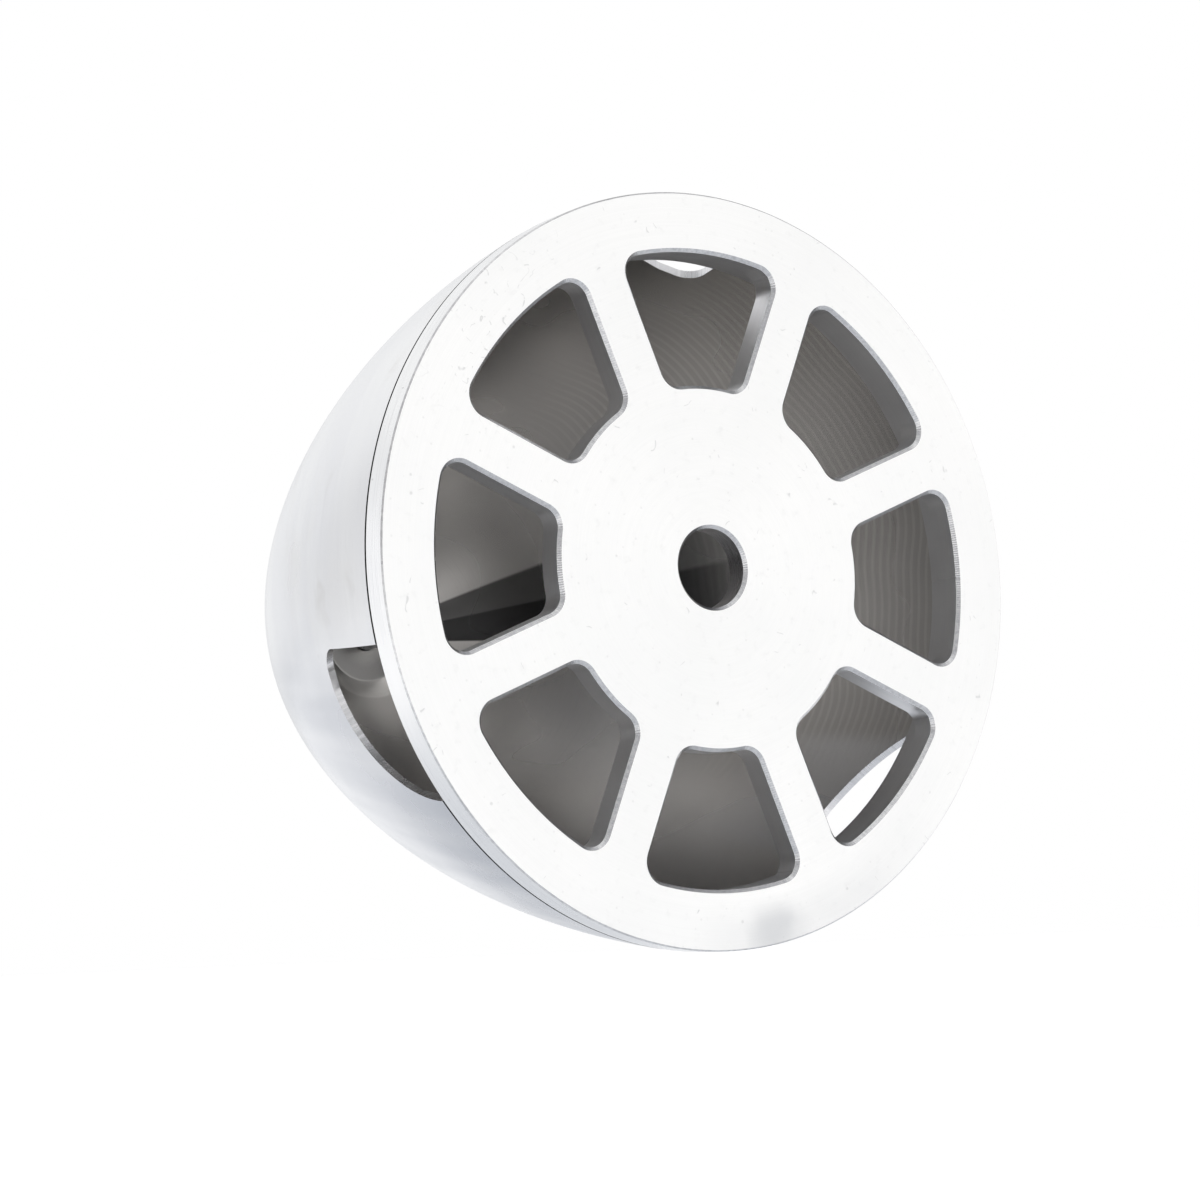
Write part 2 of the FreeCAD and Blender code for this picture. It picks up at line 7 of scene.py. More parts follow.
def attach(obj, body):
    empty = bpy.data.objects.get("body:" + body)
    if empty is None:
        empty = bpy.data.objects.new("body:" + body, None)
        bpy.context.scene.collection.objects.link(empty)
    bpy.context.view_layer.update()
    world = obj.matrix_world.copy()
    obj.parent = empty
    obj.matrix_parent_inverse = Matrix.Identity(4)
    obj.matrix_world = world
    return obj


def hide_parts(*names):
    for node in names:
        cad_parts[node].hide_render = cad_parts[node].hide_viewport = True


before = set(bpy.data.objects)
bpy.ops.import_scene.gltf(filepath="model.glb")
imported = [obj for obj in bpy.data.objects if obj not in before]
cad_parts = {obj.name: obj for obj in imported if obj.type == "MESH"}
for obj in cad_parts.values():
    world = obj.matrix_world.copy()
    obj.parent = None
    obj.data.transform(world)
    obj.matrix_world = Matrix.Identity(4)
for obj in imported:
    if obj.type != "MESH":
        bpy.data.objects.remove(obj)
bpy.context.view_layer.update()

MM = 0.001

# Dimensions in millimetres, as in the CAD model.
PLATE_R, RIM_T, PLATE_D, SPIGOT_R = 38.1, 2.9, 4.25, 36.4
BORE_R, BORE_C, EDGE = 4.0, 0.33, 0.15
W_RO, W_RI, SPOKE, W_FO, W_FI, W_C, W_N = 32.04, 18.42, 5.36, 2.0, 2.0, 0.35, 8
LAND_R, LAND_T, TAPER_T, WALL = 36.45, 4.95, 7.6, 0.74
SEAM_G, SEAM_D = 0.2, 0.45
R1, C1, R2, C2, TIP = 130.4, 10.13, 61.5, 21.159, 72.18
CAV_FLAT = 5.24
CUT_W, CUT_T, CUT_R, CUT_AR, CUT_AX, CUT_AY, CUT_TURN = 8.08, 16.97, 2.3, 14.71, 6.6, 2.51, 5.19
SEAT_R, SEAT_Y, CLEAR_R = 3.05, 71.1, 1.65
HEAD_R, HEAD_H, HEAD_E, HEAD_FLAT, HEAD_DOME = 2.85, 1.65, 0.3, 1.5, 2.6
SHANK_L, SOCKET, SOCKET_D = 6.0, 2.0, 1.0


# ------------------------------------------------------------ mesh gathering
class Mesh:
    """Points in millimetres in the row frame, faces with a patch number."""

    def __init__(self):
        self.v, self.f, self.m = [], [], []

    def add(self, pts):
        first = len(self.v)
        self.v.extend(tuple(map(float, p)) for p in pts)
        return list(range(first, len(self.v)))

    def face(self, ids, patch):
        self.f.append(tuple(ids))
        self.m.append(patch)

    def strip(self, a, b, patch, closed=True, flip=False):
        n = len(a)
        for i in range(n if closed else n - 1):
            j = (i + 1) % n
            q = (a[i], a[j], b[j], b[i])
            self.face(q[::-1] if flip else q, patch)

    def fill(self, ids, loops, patch, flip=False):
        """Flat fill in the (x, z) plane: loops[0] is the outline and the rest are holes, as positions in ids."""
        co = [Vector((self.v[i][0], self.v[i][2])) for i in ids]
        out = geometry.delaunay_2d_cdt(co, [], loops, 1, 1e-7, True)
        back = [o[0] if o else None for o in out[3]]
        for tri, owners in zip(out[2], out[5]):
            if 0 in owners and not any(o > 0 for o in owners):
                q = [ids[back[t]] for t in tri]
                self.face(q[::-1] if flip else q, patch)

    def make(self, name, materials, sharp_deg=28.0):
        me = bpy.data.meshes.new(name)
        me.from_pydata([(x * MM, y * MM, z * MM) for x, y, z in self.v], [], self.f)
        for m in materials:
            me.materials.append(m)
        me.polygons.foreach_set("material_index", self.m)
        me.validate()
        me.update()
        sharpen(me, sharp_deg)
        ob = bpy.data.objects.new(name, me)
        bpy.context.scene.collection.objects.link(ob)
        return ob


def sharpen(me, deg):
    """Smooth shading, with a sharp edge wherever the patch changes or the faces meet at more than deg."""
    n = len(me.polygons)
    me.polygons.foreach_set("use_smooth", [True] * n)
    normals = np.zeros(n * 3)
    me.polygons.foreach_get("normal", normals)
    normals = normals.reshape(-1, 3)
    mats = np.zeros(n, int)
    me.polygons.foreach_get("material_index", mats)
    loops = np.zeros(len(me.loops), int)
    me.loops.foreach_get("edge_index", loops)
    totals = np.zeros(n, int)
    me.polygons.foreach_get("loop_total", totals)
    owner = np.repeat(np.arange(n), totals)
    order = np.argsort(loops, kind="stable")
    e, o = loops[order], owner[order]
    same = np.nonzero(e[1:] == e[:-1])[0]
    sharp = np.zeros(len(me.edges), bool)
    dots = (normals[o[same]] * normals[o[same + 1]]).sum(1)
    sharp[e[same]] = (dots < math.cos(math.radians(deg))) | (mats[o[same]] != mats[o[same + 1]])
    att = me.attributes.get("sharp_edge") or me.attributes.new("sharp_edge", "BOOLEAN", "EDGE")
    att.data.foreach_set("value", sharp)
    me.update()


def wave(x):
    """Smooth seeded wobble between about -1 and 1."""
    return (np.sin(x * 1.0 + 0.3) + 0.6 * np.sin(x * 2.37 + 1.9) + 0.45 * np.sin(x * 5.13 + 4.1)
            + 0.3 * np.sin(x * 11.7 + 2.2)) / 2.0


# ============================================================== back plate
def window_outline(step=0.06):
    """One window about +X, anticlockwise in (x, z): points, directions into the metal, and which lie on the outer arc."""
    hb, dd = math.pi / W_N, SPOKE / 2
    ux, uy, nx, ny = math.cos(hb), math.sin(hb), -math.sin(hb), math.cos(hb)
    so = math.sqrt((W_RO - W_FO) ** 2 - (dd + W_FO) ** 2)
    co = (ux * so - nx * (dd + W_FO), uy * so - ny * (dd + W_FO))
    si = math.sqrt((W_RI + W_FI) ** 2 - (dd + W_FI) ** 2)
    ci = (ux * si - nx * (dd + W_FI), uy * si - ny * (dd + W_FI))
    ao, ai = math.atan2(co[1], co[0]), math.atan2(ci[1], ci[0])
    pts, nrm, arc_on = [], [], []

    def arc(cx, cy, r, a, b, sign=1.0, on=False):
        n = max(3, int(math.ceil(abs(b - a) * r / step)))
        for t in np.linspace(a, b, n, endpoint=False):
            pts.append((cx + r * math.cos(t), cy + r * math.sin(t)))
            nrm.append((sign * math.cos(t), sign * math.sin(t)))
            arc_on.append(on)

    def side(p, q, n2):
        n = max(3, int(math.ceil(math.dist(p, q) / step)))
        for t in np.linspace(0, 1, n, endpoint=False):
            pts.append((p[0] + (q[0] - p[0]) * t, p[1] + (q[1] - p[1]) * t))
            nrm.append(n2)
            arc_on.append(False)

    p1 = (co[0] + W_FO * nx, co[1] + W_FO * ny)
    p2 = (ci[0] + W_FI * nx, ci[1] + W_FI * ny)
    arc(0, 0, W_RO, -ao, ao, on=True)
    last = len(pts)                                   # the arc's far end is the next point
    arc(co[0], co[1], W_FO, ao, hb + math.pi / 2)
    side(p1, p2, (nx, ny))
    arc(ci[0], ci[1], W_FI, hb + math.pi / 2, ai + math.pi)
    arc(0, 0, W_RI, ai, -ai, sign=-1.0)
    arc(ci[0], -ci[1], W_FI, math.pi - ai, 1.5 * math.pi - hb)
    side((p2[0], -p2[1]), (p1[0], -p1[1]), (nx, -ny))
    arc(co[0], -co[1], W_FO, -hb - math.pi / 2, -ao)
    arc_on[last] = True
    return np.array(pts), np.array(nrm), np.array(arc_on)


FACE, CHAMFER, WALLS, FRONT, RIM, BORE, BREAK, LIP = range(8)


def build_plate(materials):
    m = Mesh()
    P, N, ON = window_outline()
    seg = np.linalg.norm(np.roll(P, -1, 0) - P, axis=1)
    s = np.concatenate([[0], np.cumsum(seg)[:-1]])
    total = seg.sum()
    ticks = round(total / 0.235)
    phase = s / total * ticks * 2 * math.pi
    # cutter tooth marks: scallops along the chamfer, deeper in some stretches than in others
    face_loops, wall_c, wall_d, ends = [], [], [], []
    # dwell marks of the end mill on the outer wall, by each window's own angle
    marks = {0: 0.3, 1: 28.3, 2: 74.2, 6: -74.4, 7: -28.2, 3: 141.0, 4: 180.6, 5: 219.0}
    for k in range(W_N):
        a = k * 2 * math.pi / W_N
        c, sn = math.cos(a), math.sin(a)
        rot = np.array([[c, sn], [-sn, c]])
        p, n = P @ rot, N @ rot
        depth = 0.0075 * (1 + 0.25 * wave(s * 0.21 + 1.7 * k)) * (1 + np.cos(phase))
        cut = W_C - 0.008 + math.sqrt(2) * depth
        th = np.degrees(np.arctan2(p[:, 1], p[:, 0]))
        gap = (th - marks[k] + 180) % 360 - 180
        near = np.abs(gap) * math.pi / 180 * W_RO
        groove = np.where((np.hypot(p[:, 0], p[:, 1]) > 30.5) & (near < 0.13), 0.045, 0.0)
        q = p + n * groove[:, None]
        A = m.add([(x + u * d, 0.0, z + w * d) for (x, z), (u, w), d in zip(p, n, cut)])
        B = m.add([(x, d, z) for (x, z), d in zip(q, cut)])
        C = m.add([(x, RIM_T, z) for x, z in q])
        face_loops.append(A)
        m.strip(A, B, CHAMFER)
        m.strip(B, C, WALLS)
        on = [i for i in range(len(p)) if ON[i]]
        D = m.add([(q[i][0], PLATE_D, q[i][1]) for i in on])
        m.strip([C[i] for i in on], D, WALLS, closed=False)
        wall_c.append([C[i] for i in list(range(on[-1], len(p))) + [0]])
        wall_d.append(D)
        ends.append((on[0], on[-1], C[on[0]], C[on[-1]], D[0], D[-1]))

    # bore: both mouths chamfered
    nb = 4 * 106
    t = np.arange(nb) / nb * 2 * math.pi
    h = 0.0065 * (1 + 0.3 * wave(t * 3)) * (1 + np.cos(t * 106)) * math.sqrt(2)
    b0 = m.add([((BORE_R + BORE_C - 0.006 + d) * math.cos(u), 0, (BORE_R + BORE_C - 0.006 + d) * math.sin(u)) for u, d in zip(t, h)])
    b1 = m.add([(BORE_R * math.cos(u), BORE_C - 0.006 + d, BORE_R * math.sin(u)) for u, d in zip(t, h)])
    b2 = m.add([(BORE_R * math.cos(u), RIM_T - BORE_C, BORE_R * math.sin(u)) for u in t])
    b3 = m.add([((BORE_R + BORE_C) * math.cos(u), RIM_T, (BORE_R + BORE_C) * math.sin(u)) for u in t])
    m.strip(b0, b1, CHAMFER)
    m.strip(b1, b2, BORE)
    m.strip(b2, b3, CHAMFER)

    # rim: broken edge of uneven width, side, shoulder, spigot
    nr = 720
    t = np.arange(nr) / nr * 2 * math.pi
    er = EDGE + 0.010 * wave(t * 41) + 0.006 * wave(t * 173)
    ring = lambda r, y: m.add([(rr * math.cos(u), yy, rr * math.sin(u)) for u, rr, yy in
                               zip(t, np.broadcast_to(r, nr), np.broadcast_to(y, nr))])
    e0 = ring(PLATE_R - er, 0.0)
    e1 = ring(PLATE_R, er)
    e2 = ring(PLATE_R, RIM_T - 0.07)
    e3 = ring(PLATE_R - 0.07, RIM_T)
    e4 = ring(SPIGOT_R, RIM_T)
    e5 = ring(SPIGOT_R, PLATE_D - 0.15)
    e6 = ring(SPIGOT_R - 0.15, PLATE_D)
    for a_, b_, patch in ((e0, e1, BREAK), (e1, e2, RIM), (e2, e3, LIP), (e3, e4, LIP), (e4, e5, RIM), (e5, e6, RIM)):
        m.strip(a_, b_, patch, flip=True)

    # rear face with its eight windows and the bore
    ids, loops = [], []
    for loop in [e0] + face_loops + [b0]:
        loops.append(list(range(len(ids), len(ids) + len(loop))))
        ids += loop
    m.fill(ids, loops, FACE)

    # the web's front face ends at the spigot's inner wall between the windows
    outer, inner_top = [], []
    for k in range(W_N):
        j = (k + 1) % W_N
        a0 = math.atan2(m.v[ends[k][3]][2], m.v[ends[k][3]][0])
        a1 = math.atan2(m.v[ends[j][2]][2], m.v[ends[j][2]][0])
        while a1 < a0:
            a1 += 2 * math.pi
        tt = np.linspace(a0, a1, 14)[1:-1]
        G = m.add([(W_RO * math.cos(u), RIM_T, W_RO * math.sin(u)) for u in tt])
        H = m.add([(W_RO * math.cos(u), PLATE_D, W_RO * math.sin(u)) for u in tt])
        m.strip([ends[k][3]] + G + [ends[j][2]], [ends[k][5]] + H + [ends[j][4]], WALLS, closed=False)
        # the window's inner sides, walked from its far end back to its near end
        outer += wall_c[k][::-1][:-1] + [wall_c[k][0]] + G
        inner_top += wall_d[k] + H
    ids = outer + b3
    m.fill(ids, [list(range(len(outer))), list(range(len(outer), len(ids)))], FRONT, flip=True)
    ids = e6 + inner_top
    m.fill(ids, [list(range(len(e6))), list(range(len(e6), len(ids)))], FRONT, flip=True)
    return m.make("back_plate_machined", materials, 24.0)


# =============================================================== nose cone
c1x = PLATE_R - math.sqrt(R1 ** 2 - (RIM_T + C1) ** 2)
c2x = c1x + math.sqrt((R1 - R2) ** 2 - (C2 + C1) ** 2)
_u = TIP - C2
R3 = (R2 ** 2 - c2x ** 2 - _u ** 2) / (2 * (R2 - _u))
c3y = TIP - R3
cav_end = c3y + math.sqrt((R3 - WALL) ** 2 - CAV_FLAT ** 2)
a12 = math.atan2(C2 + C1, c2x - c1x)
a23 = math.atan2(c3y - C2, -c2x)
OUT, IN, CUT, SEAT, SEAM = range(5)


def outer_r(y):
    """Outside radius and slope direction at height y."""
    y12 = -C1 + R1 * math.sin(a12)
    y23 = C2 + R2 * math.sin(a23)
    if y < y12:
        return c1x + math.sqrt(R1 ** 2 - (y + C1) ** 2), (c1x, -C1)
    if y < y23:
        return c2x + math.sqrt(R2 ** 2 - (y - C2) ** 2), (c2x, C2)
    return math.sqrt(max(R3 ** 2 - (y - c3y) ** 2, 0)), (0.0, c3y)


def build_cone(materials, columns=300):
    prof = []                                     # (r, y, patch of the piece up to the next point)

    def arc(cx, cy, r, a, b, n, patch):
        for t in np.linspace(a, b, n, endpoint=False):
            prof.append((cx + r * math.cos(t), cy + r * math.sin(t), patch))

    y0 = RIM_T + SEAM_G
    prof.append((outer_r(y0)[0] - 0.07, y0, SEAM))
    arc(c1x, -C1, R1, math.asin((y0 + 0.07 + C1) / R1), a12, 34, OUT)
    arc(c2x, C2, R2, a12, a23, 46, OUT)
    top = math.acos((SEAT_R + 0.1) / R3)
    arc(0, c3y, R3, a23, top, 26, OUT)
    yt = c3y + R3 * math.sin(top)
    prof += [(SEAT_R + 0.1, yt, SEAT), (SEAT_R, yt - 0.1, SEAT), (SEAT_R, SEAT_Y, SEAT), (CLEAR_R, SEAT_Y, SEAT),
             (CLEAR_R, cav_end, IN), ((CLEAR_R + CAV_FLAT) / 2, cav_end, IN)]
    r1, r2 = R1 - WALL, R2 - WALL
    arc(0, c3y, R3 - WALL, math.atan2(cav_end - c3y, CAV_FLAT), a23, 14, IN)
    arc(c2x, C2, r2, a23, a12, 50, IN)
    xt = c1x + math.sqrt(r1 ** 2 - (TAPER_T + C1) ** 2)
    arc(c1x, -C1, r1, a12, math.atan2(TAPER_T + C1, xt - c1x), 26, IN)
    prof += [(xt, TAPER_T, IN), ((xt + LAND_R) / 2, (TAPER_T + LAND_T) / 2, IN), (LAND_R, LAND_T, IN), (LAND_R, RIM_T, SEAT),
             (PLATE_R - SEAM_D, RIM_T, SEAM), (PLATE_R - SEAM_D, RIM_T + SEAM_G, SEAM)]
    m = Mesh()
    t = np.arange(columns) / columns * 2 * math.pi
    rings = [m.add([(r * math.cos(u), y, r * math.sin(u)) for u in t]) for r, y, _ in prof]
    for i, (_, _, patch) in enumerate(prof):
        m.strip(rings[i], rings[(i + 1) % len(rings)], patch, flip=True)
    ob = m.make("nose_cone_turned", materials, 24.0)

    # three blade cut-outs, milled square to the axis
    xa = CUT_AX - math.sqrt(CUT_AR ** 2 - (CUT_T - CUT_AY) ** 2)
    ya = CUT_AY + math.sqrt(CUT_AR ** 2 - (CUT_W + CUT_AX) ** 2)
    out = [(-CUT_W, 1.0), (CUT_W, 1.0)]
    out += [(CUT_W - CUT_R + CUT_R * math.cos(g), CUT_T - CUT_R + CUT_R * math.sin(g)) for g in np.linspace(0, math.pi / 2, 13)]
    g0, g1 = math.atan2(CUT_T - CUT_AY, xa - CUT_AX), math.atan2(ya - CUT_AY, -CUT_W - CUT_AX)
    out += [(CUT_AX + CUT_AR * math.cos(g), CUT_AY + CUT_AR * math.sin(g)) for g in np.linspace(g0, g1, 70)]
    k = Mesh()
    for j in range(3):
        a = math.radians(CUT_TURN + 120 * j)
        c, sn = math.cos(a), math.sin(a)
        put = lambda x, y, z: (x * c + z * sn, y, -x * sn + z * c)
        lo = k.add([put(x, y, 26.0) for x, y in out])
        hi = k.add([put(x, y, 42.0) for x, y in out])
        k.face(hi, CUT)
        k.face(lo[::-1], CUT)
        k.strip(lo, hi, CUT)
    knife = k.make("knife", materials, 24.0)
    mod = ob.modifiers.new("cut", "BOOLEAN")
    mod.operation, mod.solver, mod.object = "DIFFERENCE", "EXACT", knife
    mod.material_mode = "INDEX"
    bpy.context.view_layer.update()
    me = bpy.data.meshes.new_from_object(ob.evaluated_get(bpy.context.evaluated_depsgraph_get()))
    ob.modifiers.clear()
    old = ob.data
    ob.data = me
    me.name = "nose_cone_turned"
    bpy.data.meshes.remove(old)
    kd = knife.data
    bpy.data.objects.remove(knife)
    bpy.data.meshes.remove(kd)
    sharpen(me, 24.0)

    # exact normals on the two turned surfaces, so that reflections run clean up to the cut edges
    co = np.zeros(len(me.vertices) * 3)
    me.vertices.foreach_get("co", co)
    co = co.reshape(-1, 3) / MM
    out_n = np.zeros((len(me.loops), 3))
    pi = np.zeros(len(me.polygons), int)
    me.polygons.foreach_get("material_index", pi)
    for p in me.polygons:
        if pi[p.index] > IN:
            continue
        fn = p.normal
        for li in p.loop_indices:
            x, y, z = co[me.loops[li].vertex_index]
            r = math.hypot(x, z)
            if pi[p.index] == OUT:
                if y < RIM_T + SEAM_G + 0.071 and fn.y < -0.3:
                    continue
                _, (cx, cy) = outer_r(min(y, TIP))
                nr_, ny_ = r - cx, y - cy
            else:
                if y <= TAPER_T + 1e-3 or y > cav_end - 1e-3:
                    continue
                cx, cy = (c1x, -C1) if y < -C1 + r1 * math.sin(a12) else (c2x, C2) if y < C2 + r2 * math.sin(a23) else (0.0, c3y)
                nr_, ny_ = -(r - cx), -(y - cy)
            l = math.hypot(nr_, ny_)
            v = (nr_ / l * x / r, ny_ / l, nr_ / l * z / r)
            if v[0] * fn.x + v[1] * fn.y + v[2] * fn.z > 0.8:
                out_n[li] = v
    me.normals_split_custom_set(out_n.tolist())
    me.update()
    return ob


# ============================================================== nose screw
def build_screw(materials):
    m = Mesh()
    n = 144
    t = np.arange(n) / n * 2 * math.pi
    y0, y1 = SEAT_Y - SHANK_L, SEAT_Y

    def ring(r, y):
        return m.add([(rr * math.cos(u), yy, rr * math.sin(u)) for u, rr, yy in
                      zip(t, np.broadcast_to(r, n), np.broadcast_to(y, n))])

    # point and rolled thread, pitch 0.5
    rings = [ring(1.08, y0)]
    for y in np.arange(y0 + 0.04, y1 - 0.5, 0.0625):
        f = (y / 0.5 - t / (2 * math.pi)) % 1.0
        tri = np.clip(np.abs(f - 0.5) * 2.35 - 0.12, 0, 1)
        fade = min(1.0, (y1 - 0.5 - y) / 0.7)
        lead = min(1.0, (y - y0) / 0.45)
        rings.append(ring(np.minimum(1.48 - 0.29 * tri * fade, 1.12 + 0.36 * lead), y))
    rings.append(ring(1.46, y1 - 0.45))
    rings.append(ring(1.46, y1))
    # button head: a short edge, then a dome up to a small flat
    rings.append(ring(HEAD_R - 0.1, y1))
    rings.append(ring(HEAD_R, y1 + 0.1))
    rings.append(ring(HEAD_R, y1 + HEAD_E))
    p, q = np.array([HEAD_R, y1 + HEAD_E]), np.array([HEAD_FLAT, y1 + HEAD_H])
    span = np.linalg.norm(q - p)
    mid, back = (p + q) / 2, math.sqrt(HEAD_DOME ** 2 - (span / 2) ** 2)
    cc = mid - back * np.array([q[1] - p[1], p[0] - q[0]]) / span
    g0, g1 = math.atan2(*(p - cc)[::-1]), math.atan2(*(q - cc)[::-1])
    for g in np.linspace(g0, g1, 10)[1:]:
        rings.append(ring(cc[0] + HEAD_DOME * math.cos(g), cc[1] + HEAD_DOME * math.sin(g)))
    for a, b in zip(rings, rings[1:]):
        m.strip(a, b, 0)
    m.face(rings[0][::-1], 0)
    # hexagon socket with a conical lead-in
    hx = SOCKET / math.sqrt(3)
    hexr = (SOCKET / 2) / np.cos((t + math.pi / 6) % (math.pi / 3) - math.pi / 6)
    hexr = np.minimum(hexr, hx - 0.03)
    lead = ring(hx + 0.06, y1 + HEAD_H)
    h0 = ring(np.minimum(hexr + 0.0, hx), y1 + HEAD_H - 0.08 - (hx - hexr) * 0.6)
    h1 = ring(hexr, y1 + HEAD_H - SOCKET_D)
    m.strip(rings[-1], lead, 0)
    m.strip(lead, h0, 1)
    m.strip(h0, h1, 1)
    tip = m.add([(0, y1 + HEAD_H - SOCKET_D - 0.25, 0)])[0]
    inner = ring(0.6, y1 + HEAD_H - SOCKET_D)
    m.strip(h1, inner, 1)
    for i in range(n):
        m.face((inner[i], inner[(i + 1) % n], tip), 1)
    m.f = [f[::-1] for f in m.f]
    return m.make("nose_screw_threaded", materials, 30.0)


# =============================================================== materials
class Nodes:
    def __init__(self, name):
        self.mat = bpy.data.materials.new(name)
        self.mat.use_nodes = True
        self.t = self.mat.node_tree
        self.p = self.t.nodes["Principled BSDF"]
        self.co = self.new("ShaderNodeTexCoord").outputs["Object"]

    def new(self, kind, **props):
        n = self.t.nodes.new(kind)
        for k, v in props.items():
            setattr(n, k, v)
        return n

    def put(self, socket, value):
        if isinstance(value, bpy.types.NodeSocket):
            self.t.links.new(value, socket)
        elif isinstance(value, (tuple, list)) and len(value) == 3 and socket.type == "RGBA":
            socket.default_value = (*value, 1.0)
        else:
            socket.default_value = value

    def math(self, op, a, b=0.0, c=0.0, clamp=False):
        n = self.new("ShaderNodeMath", operation=op, use_clamp=clamp)
        for i, v in enumerate((a, b, c)):
            self.put(n.inputs[i], v)
        return n.outputs[0]

    def vec(self, op, a, b=(0, 0, 0), scale=None):
        n = self.new("ShaderNodeVectorMath", operation=op)
        self.put(n.inputs[0], a)
        self.put(n.inputs[1], b)
        if scale is not None:
            self.put(n.inputs["Scale"], scale)
        return n.outputs["Value"] if op in ("LENGTH", "DOT_PRODUCT", "DISTANCE") else n.outputs["Vector"]

    def xyz(self, v):
        n = self.new("ShaderNodeSeparateXYZ")
        self.put(n.inputs[0], v)
        return n.outputs

    def join(self, x, y, z):
        n = self.new("ShaderNodeCombineXYZ")
        for i, v in enumerate((x, y, z)):
            self.put(n.inputs[i], v)
        return n.outputs[0]

    def noise(self, v, scale, detail=2.0, rough=0.5, distortion=0.0):
        n = self.new("ShaderNodeTexNoise")
        self.put(n.inputs["Vector"], v)
        n.inputs["Scale"].default_value = scale
        n.inputs["Detail"].default_value = detail
        n.inputs["Roughness"].default_value = rough
        n.inputs["Distortion"].default_value = distortion
        return n.outputs["Fac"]

    def voronoi(self, v, scale, feature="F1"):
        n = self.new("ShaderNodeTexVoronoi", feature=feature)
        self.put(n.inputs["Vector"], v)
        n.inputs["Scale"].default_value = scale
        return n.outputs

    def ramp(self, v, a, b, lo=0.0, hi=1.0, smooth=True):
        n = self.new("ShaderNodeMapRange", interpolation_type="SMOOTHSTEP" if smooth else "LINEAR")
        for i, x in enumerate((v, a, b, lo, hi)):
            self.put(n.inputs[i], x)
        return n.outputs[0]

    def mix(self, f, a, b):
        n = self.new("ShaderNodeMix", data_type="RGBA")
        self.put(n.inputs[0], f)
        self.put(n.inputs[6], a)
        self.put(n.inputs[7], b)
        return n.outputs[2]

    def cyl(self):
        """Radius, height, and the unit direction about the axis, all from object coordinates in metres."""
        x, y, z = self.xyz(self.co)[:3]
        r = self.math("SQRT", self.math("ADD", self.math("MULTIPLY", x, x), self.math("MULTIPLY", z, z)))
        inv = self.math("DIVIDE", 1.0, self.math("MAXIMUM", r, 1e-5))
        return r, y, self.math("MULTIPLY", x, inv), self.math("MULTIPLY", z, inv)

    def scratches(self, v, scale, width, amount, seed=(0, 0, 0)):
        """Thin curved hairlines, kept only in some patches."""
        w = self.vec("ADD", v, seed)
        f = self.noise(w, scale, 1.5, 0.5, 0.4)
        lines = self.ramp(self.math("ABSOLUTE", self.math("SUBTRACT", f, 0.5)), 0.0, width, 1.0, 0.0)
        keep = self.ramp(self.noise(self.vec("ADD", w, (3.1, 1.7, 5.3)), scale * 2.7, 2.0), 0.66 - amount, 0.72 - amount)
        return self.math("MULTIPLY", lines, keep)

    def pits(self, v, scale, size, share):
        o = self.voronoi(v, scale)
        rnd = self.xyz(o["Color"])[0]
        dot = self.ramp(o["Distance"], size * 0.35, size, 1.0, 0.0)
        return self.math("MULTIPLY", dot, self.math("GREATER_THAN", rnd, 1.0 - share))

    def near(self, centre, radius, soft):
        """1 within radius of a point, falling to 0 over soft."""
        d = self.vec("DISTANCE", self.co, centre)
        return self.ramp(d, radius, radius + soft, 1.0, 0.0)

    def bump(self, height, strength, distance, normal=None):
        n = self.new("ShaderNodeBump")
        n.inputs["Strength"].default_value = strength
        n.inputs["Distance"].default_value = distance
        self.put(n.inputs["Height"], height)
        if normal is not None:
            self.put(n.inputs["Normal"], normal)
        return n.outputs[0]

    def finish(self, colour, rough, normal=None, aniso=0.0, tangent=True, metallic=1.0, ior=1.5):
        self.put(self.p.inputs["Base Color"], colour)
        self.put(self.p.inputs["Roughness"], rough)
        self.p.inputs["Metallic"].default_value = metallic
        self.p.inputs["IOR"].default_value = ior
        if normal is not None:
            self.put(self.p.inputs["Normal"], normal)
        if aniso:
            self.p.inputs["Anisotropic"].default_value = aniso
            if tangent:
                tg = self.new("ShaderNodeTangent", direction_type="RADIAL", axis="Y")
                self.put(self.p.inputs["Tangent"], tg.outputs[0])
        return self.mat


def plate_point(u, v):
    """A place on the rear face, in metres, from plate radii."""
    return (u * PLATE_R * MM, 0.0, v * PLATE_R * MM)


